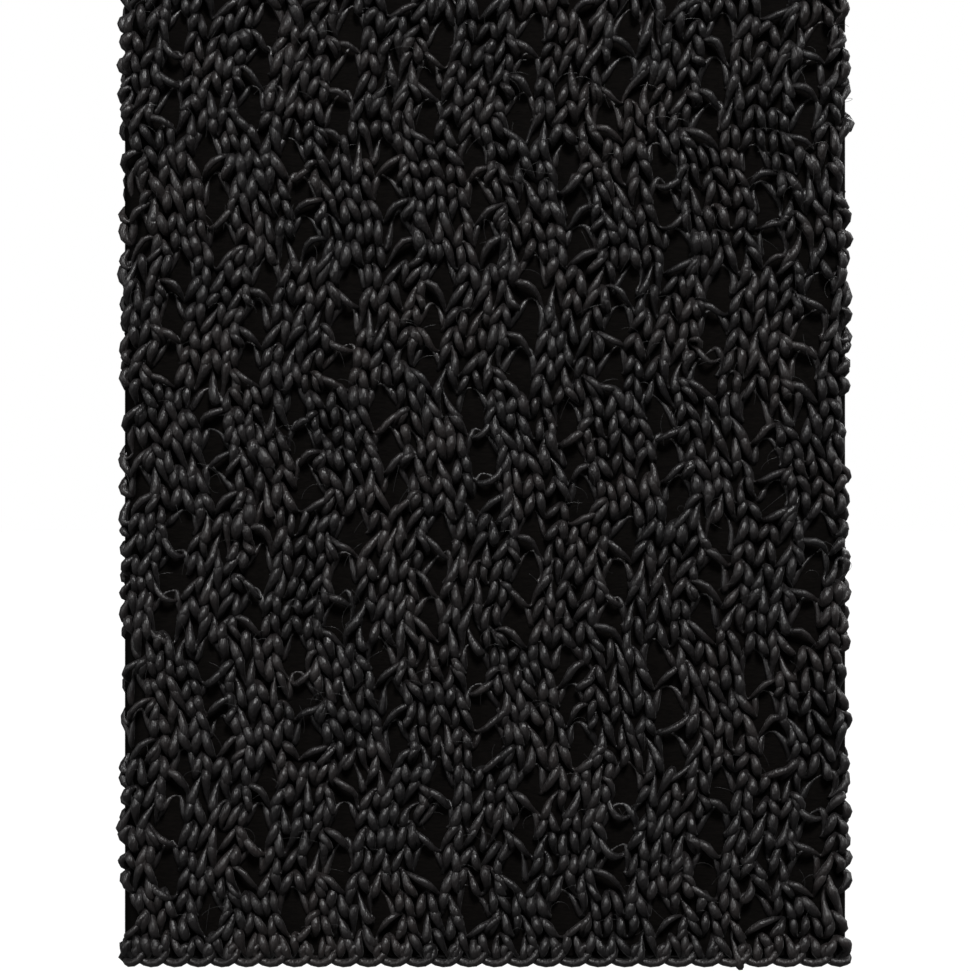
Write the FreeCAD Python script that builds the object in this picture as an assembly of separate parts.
import FreeCAD, Part
import os
from math import acos, cos, degrees, radians, sin, sqrt

# A black openwork knit necktie, tied in a four-in-hand knot and hanging straight.
# Millimetres. The origin is the centre of the neck loop, +Z is up and the wearer faces -Y.

# Neck loop: a band round the collar, then two straight arms that run down to the knot.
LOOP_RADIUS = 60.0
LOOP_APEX = 84.0
LOOP_SLOPE = 25.0
BAND_HEIGHT = 32.0
BAND_LEAN = 8.0
TAPE_HEIGHT = 24.0
TAPE_THICK = 0.8

# Knit panels are flattened tubes, two layers of knit thick.
PANEL_THICK = 3.0
BLADE_WIDTH = 60.0
TAIL_WIDTH = 46.0
BLADE_END_Z = -485.0
TAIL_END_Z = -400.0
HEM_HEIGHT = 2.4
HEM_PROUD = 0.3
LINING_THICK = 0.6
LINING_MARGIN = 5.0

# Knot, from front to back: outer wrap, fold, inner wrap, tail, inner wrap, fold, outer wrap.
KNOT_TOP_Z = -12.0
KNOT_BOTTOM_Z = -54.0
KNOT_TOP_WIDTH = 39.0
KNOT_BOTTOM_WIDTH = 31.0
KNOT_DEPTH = 27.0
KNOT_Y = -78.0
WRAP_THICK = 3.0
KNOT_CORNER_SHARE = 0.3
FOLD_THICK = 4.5
FOLD_WIDTH = 26.0
FOLD_ROUNDING = 3.1
INNER_WRAP_WIDTH = 29.0
GATHERED_TAIL_WIDTH = 20.0
GATHERED_TAIL_THICK = 5.0
GATHERED_BLADE_WIDTH = 25.0
GATHERED_BLADE_THICK = 5.6

# Where the panels hang and where they bend.
BLADE_Y = -85.5
TAIL_Y = -69.5
SWING_Z = -57.4
FLARE_END_Z = -132.0
FOLD_Z = -235.0
TAIL_SPREAD_Z = -114.0
TAIL_BEND_Z = -140.0
FLARE_STEPS = 6
FLARE_POWER = 1.7

# Seams, keeper loop, labels and tacks on the back.
SEAM_WIDTH = 1.8
SEAM_PROUD = 0.7
NECK_SEAM_WIDTH = 3.6
KEEPER_WIDTH = 50.0
KEEPER_HEIGHT = 24.0
KEEPER_GAP = 5.4
KEEPER_THICK = 1.2
KEEPER_FOOT = 4.0
KEEPER_Z = -300.0
LABEL_THICK = 0.4
LABEL_WIDTH = 30.0
LABEL_HEIGHT = 14.0
CARE_LABEL_WIDTH = 14.0
CARE_LABEL_HEIGHT = 18.0
CARE_LABEL_Z = -352.0
TACK_LENGTH = 8.0
TACK_WIDTH = 1.2
TACK_THICK = 0.6

CLEARANCE = 0.4
TOLERANCE = 0.01

X_AXIS = FreeCAD.Vector(1, 0, 0)
Y_AXIS = FreeCAD.Vector(0, 1, 0)
Z_AXIS = FreeCAD.Vector(0, 0, 1)
ORIGIN = FreeCAD.Vector(0, 0, 0)


def box(width, depth, height, x, y, z):
    """A box centred on x and y, with its underside at z."""
    return Part.makeBox(width, depth, height, FreeCAD.Vector(x - width / 2, y - depth / 2, z))


def flat_tube_wire(width, thick, y, z):
    """The outline of a flattened tube in a level plane: two flats and two round folds."""
    half = width / 2 - thick / 2
    bulge = width / 2
    front = y - thick / 2
    back = y + thick / 2
    right_fold = Part.Arc(
        FreeCAD.Vector(half, front, z), FreeCAD.Vector(bulge, y, z), FreeCAD.Vector(half, back, z)
    )
    left_fold = Part.Arc(
        FreeCAD.Vector(-half, back, z), FreeCAD.Vector(-bulge, y, z), FreeCAD.Vector(-half, front, z)
    )
    back_flat = Part.LineSegment(FreeCAD.Vector(half, back, z), FreeCAD.Vector(-half, back, z))
    front_flat = Part.LineSegment(FreeCAD.Vector(-half, front, z), FreeCAD.Vector(half, front, z))
    curves = [front_flat, right_fold, back_flat, left_fold]
    return Part.Wire([curve.toShape() for curve in curves])


def straight_panel(width, thick, y, top_z, bottom_z):
    """A flattened tube hanging from top_z to bottom_z."""
    face = Part.Face(flat_tube_wire(width, thick, y, bottom_z))
    return face.extrude(FreeCAD.Vector(0, 0, top_z - bottom_z))


def flared_panel(sections):
    """A flattened tube through (width, thick, y, z) sections, listed from the top down."""
    wires = [flat_tube_wire(*section) for section in sections]
    return Part.makeLoft(wires, True, True)


def flare_sections(wide, narrow, narrow_thick, low, high):
    """Sections of a panel from its gathered top, (y, z) high, to its full width at (y, z) low."""
    sections = []
    for step in range(FLARE_STEPS + 1):
        gather = 1 - step / FLARE_STEPS
        sway = gather * gather * (3 - 2 * gather)
        width = wide + (narrow - wide) * gather**FLARE_POWER
        thick = PANEL_THICK + (narrow_thick - PANEL_THICK) * gather
        y = low[0] + (high[0] - low[0]) * sway
        z = low[1] + (high[1] - low[1]) * gather
        sections.append((width, thick, y, z))
    return sections


def bend_barrel(width, thick, y, z):
    """The rounded top of a panel that turns about a level line at y and z."""
    length = width - thick
    start = FreeCAD.Vector(-length / 2, y, z)
    return Part.makeCylinder(thick / 2, length, start, X_AXIS)


def with_pocket(panel, width, y, top_z, bottom_z):
    """Returns the panel with a flat pocket for its lining, and the lining that fills it."""
    lining = box(width - 2 * LINING_MARGIN, LINING_THICK, top_z - bottom_z, 0, y, bottom_z)
    return panel.cut(lining), lining


def back_seam(y, top_z, bottom_z):
    """The linked seam that closes a panel, a low half-round ridge down the middle of its back."""
    face_y = y + PANEL_THICK / 2
    ridge = Part.Arc(
        FreeCAD.Vector(-SEAM_WIDTH / 2, face_y, bottom_z),
        FreeCAD.Vector(0, face_y + SEAM_PROUD, bottom_z),
        FreeCAD.Vector(SEAM_WIDTH / 2, face_y, bottom_z),
    )
    foot = Part.LineSegment(
        FreeCAD.Vector(SEAM_WIDTH / 2, face_y, bottom_z),
        FreeCAD.Vector(-SEAM_WIDTH / 2, face_y, bottom_z),
    )
    face = Part.Face(Part.Wire([ridge.toShape(), foot.toShape()]))
    return face.extrude(FreeCAD.Vector(0, 0, top_z - bottom_z))


def end_hem(width, y, z):
    """The bound-off edge that closes a square end, a little proud of the panel all round."""
    return straight_panel(width + 2 * HEM_PROUD, PANEL_THICK + 2 * HEM_PROUD, y, z + HEM_HEIGHT, z)


def bar_tack(y, z):
    """A short row of stitches across the lower end of a seam."""
    return box(TACK_LENGTH, TACK_THICK, TACK_WIDTH, 0, y + PANEL_THICK / 2 + SEAM_PROUD + TACK_THICK / 2, z)


# ---- neck loop: drawn level, then tipped so that its front is lower ----


def band_profile(height, thick, radius):
    """The band's flat section at radius on +X, leaning in towards its top."""
    wire = flat_tube_wire(height, thick, 0, 0)
    wire.rotate(ORIGIN, Y_AXIS, 90)
    wire.rotate(ORIGIN, Z_AXIS, 90)
    wire.rotate(ORIGIN, Y_AXIS, -BAND_LEAN)
    wire.translate(FreeCAD.Vector(radius, 0, 0))
    return Part.Face(wire)


def tangent_angle():
    """The angle, from straight ahead, at which an arm leaves the round part of the loop."""
    return degrees(acos(LOOP_RADIUS / LOOP_APEX))


def round_band(height, thick, radius=LOOP_RADIUS):
    """A band round the back and the sides of the neck."""
    start = -90 + tangent_angle()
    face = band_profile(height, thick, radius)
    face.rotate(ORIGIN, Z_AXIS, start)
    return face.revolve(ORIGIN, Z_AXIS, 360 - 2 * tangent_angle())


def straight_band(side, height, thick, skip, length):
    """A straight run that carries the band on, from skip to skip + length past the round part."""
    angle = -90 + side * tangent_angle()
    face = band_profile(height, thick, LOOP_RADIUS)
    face.rotate(ORIGIN, Z_AXIS, angle)
    along = FreeCAD.Vector(side * sin(radians(angle)), -side * cos(radians(angle)), 0)
    face.translate(along * skip)
    return face.extrude(along * length)


def tipped(shape):
    """The loop slopes down to the front, as a collar does."""
    shape.rotate(ORIGIN, X_AXIS, LOOP_SLOPE)
    return shape


def neck_parts():
    """The band round the neck with its stay tape inside and its seam on the inner face."""
    tape = round_band(TAPE_HEIGHT, TAPE_THICK)
    panel = round_band(BAND_HEIGHT, PANEL_THICK).cut(tape)
    seam_radius = LOOP_RADIUS - PANEL_THICK / 2
    ridge = round_band(NECK_SEAM_WIDTH, 2 * SEAM_PROUD, seam_radius)
    seam = ridge.cut(round_band(BAND_HEIGHT, PANEL_THICK))
    return {
        "neck_panel": tipped(panel),
        "neck_stay_tape": tipped(tape),
        "neck_seam": tipped(biggest_solid(seam)),
    }


def joining_seam(side):
    """The cross seam that joins the neck panel to an arm."""
    return tipped(straight_band(side, BAND_HEIGHT + 2 * HEM_PROUD, PANEL_THICK + 2 * HEM_PROUD, 0, HEM_HEIGHT))


def arm(side, knot_envelope):
    """The band from a joining seam down to the knot, cut off where the knot grips it."""
    reach = sqrt(LOOP_APEX**2 - LOOP_RADIUS**2) - HEM_HEIGHT
    strip = tipped(straight_band(side, BAND_HEIGHT, PANEL_THICK, HEM_HEIGHT, reach))
    return farthest_back(strip.cut(knot_envelope))


def farthest_back(shape):
    """The solid of a shape that lies nearest the back of the neck."""
    return max(shape.Solids, key=lambda solid: solid.CenterOfMass.y)


def biggest_solid(shape):
    return max(shape.Solids, key=lambda solid: solid.Volume)


# ---- knot ----


def knot_block(inset, top_z, bottom_z):
    """The knot's tapered, round-cornered body, drawn in by inset all round."""
    wires = []
    for width, z in ((KNOT_TOP_WIDTH, top_z), (KNOT_BOTTOM_WIDTH, bottom_z)):
        wires.append(rounded_rectangle(width - 2 * inset, KNOT_DEPTH - 2 * inset, KNOT_Y, z))
    return Part.makeLoft(wires, True, True)


def rounded_rectangle(width, depth, y, z):
    """A level rectangle whose corners are quarter circles."""
    radius = KNOT_CORNER_SHARE * min(width, depth)
    offset = radius * (1 - sqrt(0.5))
    curves = []
    for sx, sy in ((1, -1), (1, 1), (-1, 1), (-1, -1)):
        x0 = sx * width / 2
        y0 = y + sy * depth / 2
        on_side = FreeCAD.Vector(x0, y0 - sy * radius, z)
        on_face = FreeCAD.Vector(x0 - sx * radius, y0, z)
        middle = FreeCAD.Vector(x0 - sx * offset, y0 - sy * offset, z)
        first, last = (on_side, on_face) if sx == sy else (on_face, on_side)
        curves.append((first, middle, last))
    edges = []
    for index, (first, middle, last) in enumerate(curves):
        edges.append(Part.Arc(first, middle, last).toShape())
        following = curves[(index + 1) % len(curves)][0]
        edges.append(Part.LineSegment(last, following).toShape())
    return Part.Wire(edges)


def outer_wrap():
    """The last turn of the blade round the knot, open above and below."""
    outside = knot_block(0, KNOT_TOP_Z, KNOT_BOTTOM_Z)
    inside = knot_block(WRAP_THICK, KNOT_TOP_Z, KNOT_BOTTOM_Z)
    return outside.cut(inside)


def fold_strap(wrap):
    """The blade where it comes up behind the knot, over its top and down inside the outer wrap."""
    depth = KNOT_DEPTH - 2 * WRAP_THICK
    height = KNOT_TOP_Z + FOLD_THICK - KNOT_BOTTOM_Z
    outside = box(FOLD_WIDTH, depth, height, 0, KNOT_Y, KNOT_BOTTOM_Z)
    outside = outside.makeFillet(FOLD_ROUNDING, top_edges(outside))
    inside = box(FOLD_WIDTH, depth - 2 * FOLD_THICK, height - FOLD_THICK, 0, KNOT_Y, KNOT_BOTTOM_Z)
    return biggest_solid(outside.cut(inside).cut(wrap))


def top_edges(block):
    """The two edges along X at the top of a block."""
    top = block.BoundBox.ZMax
    return [
        edge
        for edge in block.Edges
        if edge.BoundBox.ZMin > top - TOLERANCE and edge.BoundBox.XLength > edge.BoundBox.YLength
    ]


def inner_wrap():
    """The first turn of the blade, round the tail."""
    depth = KNOT_DEPTH - 2 * WRAP_THICK - 2 * FOLD_THICK
    height = KNOT_TOP_Z - KNOT_BOTTOM_Z - 2 * CLEARANCE
    ring = box(INNER_WRAP_WIDTH - 2 * WRAP_THICK, depth, height, 0, KNOT_Y, KNOT_BOTTOM_Z)
    channel = box(
        GATHERED_TAIL_WIDTH + 2 * CLEARANCE,
        GATHERED_TAIL_THICK + 2 * CLEARANCE,
        height,
        0,
        KNOT_Y,
        KNOT_BOTTOM_Z,
    )
    return ring.cut(channel)


def knot_envelope():
    """The room that the arms leave for the knot."""
    return knot_block(-CLEARANCE, KNOT_TOP_Z + FOLD_THICK + CLEARANCE, KNOT_BOTTOM_Z)


def knot_parts():
    wrap = outer_wrap()
    return {"knot_outer_wrap": wrap, "knot_fold": fold_strap(wrap), "knot_inner_wrap": inner_wrap()}


# ---- front blade ----


def blade_upper_panel():
    """The blade from the knot to the fold line: gathered at the knot, then flaring to its width."""
    low = (BLADE_Y, FLARE_END_Z)
    high = (BLADE_Y, SWING_Z)
    flare = flared_panel(
        flare_sections(BLADE_WIDTH, GATHERED_BLADE_WIDTH, GATHERED_BLADE_THICK, low, high)
    )
    barrel = bend_barrel(GATHERED_BLADE_WIDTH, GATHERED_BLADE_THICK, BLADE_Y, SWING_Z)
    straight = straight_panel(BLADE_WIDTH, PANEL_THICK, BLADE_Y, FLARE_END_Z, bend_gap_z(FOLD_Z))
    return flare.fuse(barrel).fuse(straight).removeSplitter()


def bend_gap_z(bend_z):
    """Where the panel above a bend line stops, clear of the rounded top of the panel below."""
    return bend_z + PANEL_THICK / 2 + CLEARANCE


def blade_lower_panel():
    """The blade from the fold line to its square end."""
    straight = straight_panel(BLADE_WIDTH, PANEL_THICK, BLADE_Y, FOLD_Z, BLADE_END_Z + HEM_HEIGHT)
    return straight.fuse(bend_barrel(BLADE_WIDTH, PANEL_THICK, BLADE_Y, FOLD_Z)).removeSplitter()


def blade_parts():
    back_y = BLADE_Y + PANEL_THICK / 2
    upper, upper_lining = with_pocket(
        blade_upper_panel(), BLADE_WIDTH, BLADE_Y, FLARE_END_Z, bend_gap_z(FOLD_Z)
    )
    lower, lower_lining = with_pocket(
        blade_lower_panel(), BLADE_WIDTH, BLADE_Y, FOLD_Z - LINING_MARGIN, BLADE_END_Z + HEM_HEIGHT
    )
    seam_end_z = BLADE_END_Z + HEM_HEIGHT + LINING_MARGIN
    care_x = CARE_LABEL_WIDTH / 2 + SEAM_WIDTH
    return {
        "blade_upper_panel": upper,
        "blade_upper_lining": upper_lining,
        "blade_upper_seam": back_seam(BLADE_Y, FLARE_END_Z, bend_gap_z(FOLD_Z)),
        "blade_lower_panel": lower,
        "blade_lower_lining": lower_lining,
        "blade_lower_seam": back_seam(BLADE_Y, FOLD_Z - CLEARANCE, seam_end_z),
        "blade_end_hem": end_hem(BLADE_WIDTH, BLADE_Y, BLADE_END_Z),
        "blade_bar_tack": bar_tack(BLADE_Y, seam_end_z + TACK_WIDTH),
        "keeper_loop": keeper_loop(back_y),
        "keeper_tacks": keeper_tacks(back_y),
        "maker_label": box(
            LABEL_WIDTH,
            LABEL_THICK,
            LABEL_HEIGHT,
            0,
            back_y + KEEPER_GAP + KEEPER_THICK + LABEL_THICK / 2,
            KEEPER_Z - LABEL_HEIGHT / 2,
        ),
        "care_label": box(
            CARE_LABEL_WIDTH, LABEL_THICK, CARE_LABEL_HEIGHT, care_x, back_y + LABEL_THICK / 2, CARE_LABEL_Z
        ),
    }


def keeper_loop(back_y):
    """A band across the back of the blade that the tail can be tucked into, with two sewn feet."""
    bottom_z = KEEPER_Z - KEEPER_HEIGHT / 2
    outside_depth = KEEPER_GAP + KEEPER_THICK
    outside = box(KEEPER_WIDTH, outside_depth, KEEPER_HEIGHT, 0, back_y + outside_depth / 2, bottom_z)
    long_edges = [
        edge
        for edge in outside.Edges
        if edge.BoundBox.ZLength > KEEPER_THICK and edge.BoundBox.YMin > back_y + KEEPER_THICK
    ]
    outside = outside.makeFillet(2 * KEEPER_THICK, long_edges)
    inside_width = KEEPER_WIDTH - 2 * KEEPER_THICK
    inside = box(inside_width, KEEPER_GAP, KEEPER_HEIGHT, 0, back_y + KEEPER_GAP / 2, bottom_z)
    loop = outside.cut(inside)
    for side in (-1, 1):
        foot_x = side * (KEEPER_WIDTH / 2 + KEEPER_FOOT / 2 - KEEPER_THICK / 2)
        foot = box(
            KEEPER_FOOT + KEEPER_THICK,
            KEEPER_THICK,
            KEEPER_HEIGHT,
            foot_x,
            back_y + KEEPER_THICK / 2,
            bottom_z,
        )
        loop = loop.fuse(foot)
    return loop.removeSplitter()


def keeper_tacks(back_y):
    """Two bar tacks on each foot of the keeper loop."""
    tacks = []
    for side in (-1, 1):
        for level in (-1, 1):
            tacks.append(
                box(
                    TACK_WIDTH,
                    TACK_THICK,
                    TACK_LENGTH,
                    side * (KEEPER_WIDTH / 2 + KEEPER_FOOT / 2),
                    back_y + KEEPER_THICK + TACK_THICK / 2,
                    KEEPER_Z + level * KEEPER_HEIGHT / 4 - TACK_LENGTH / 2,
                )
            )
    return Part.makeCompound(tacks)


# ---- tail ----


def tail_upper_panel():
    """The tail through the knot, gathered there, and on down to its bend line."""
    knot_exit_z = KNOT_BOTTOM_Z - CLEARANCE
    gathered = straight_panel(
        GATHERED_TAIL_WIDTH, GATHERED_TAIL_THICK, KNOT_Y, KNOT_TOP_Z - CLEARANCE, knot_exit_z
    )
    low = (TAIL_Y, TAIL_SPREAD_Z)
    high = (KNOT_Y, knot_exit_z)
    flare = flared_panel(
        flare_sections(TAIL_WIDTH, GATHERED_TAIL_WIDTH, GATHERED_TAIL_THICK, low, high)
    )
    straight = straight_panel(TAIL_WIDTH, PANEL_THICK, TAIL_Y, TAIL_SPREAD_Z, bend_gap_z(TAIL_BEND_Z))
    return gathered.fuse(flare).fuse(straight).removeSplitter()


def tail_parts():
    lower = straight_panel(TAIL_WIDTH, PANEL_THICK, TAIL_Y, TAIL_BEND_Z, TAIL_END_Z + HEM_HEIGHT)
    barrel = bend_barrel(TAIL_WIDTH, PANEL_THICK, TAIL_Y, TAIL_BEND_Z)
    seam_end_z = TAIL_END_Z + HEM_HEIGHT + LINING_MARGIN
    return {
        "tail_upper_panel": tail_upper_panel(),
        "tail_lower_panel": lower.fuse(barrel).removeSplitter(),
        "tail_lower_seam": back_seam(TAIL_Y, TAIL_BEND_Z - CLEARANCE, seam_end_z),
        "tail_end_hem": end_hem(TAIL_WIDTH, TAIL_Y, TAIL_END_Z),
        "tail_bar_tack": bar_tack(TAIL_Y, seam_end_z + TACK_WIDTH),
    }


def main():
    envelope = knot_envelope()
    parts = neck_parts()
    parts["blade_side_joining_seam"] = joining_seam(-1)
    parts["tail_side_joining_seam"] = joining_seam(1)
    parts["blade_side_arm"] = arm(-1, envelope)
    parts["tail_side_arm"] = arm(1, envelope)
    parts.update(knot_parts())
    parts.update(blade_parts())
    parts.update(tail_parts())
    os.makedirs("parts", exist_ok=True)
    for name, shape in parts.items():
        shape.exportStep("parts/" + name + ".step")
        print(name, "solids", len(shape.Solids), "valid", shape.isValid(), "mm3", round(shape.Volume, 1))


main()
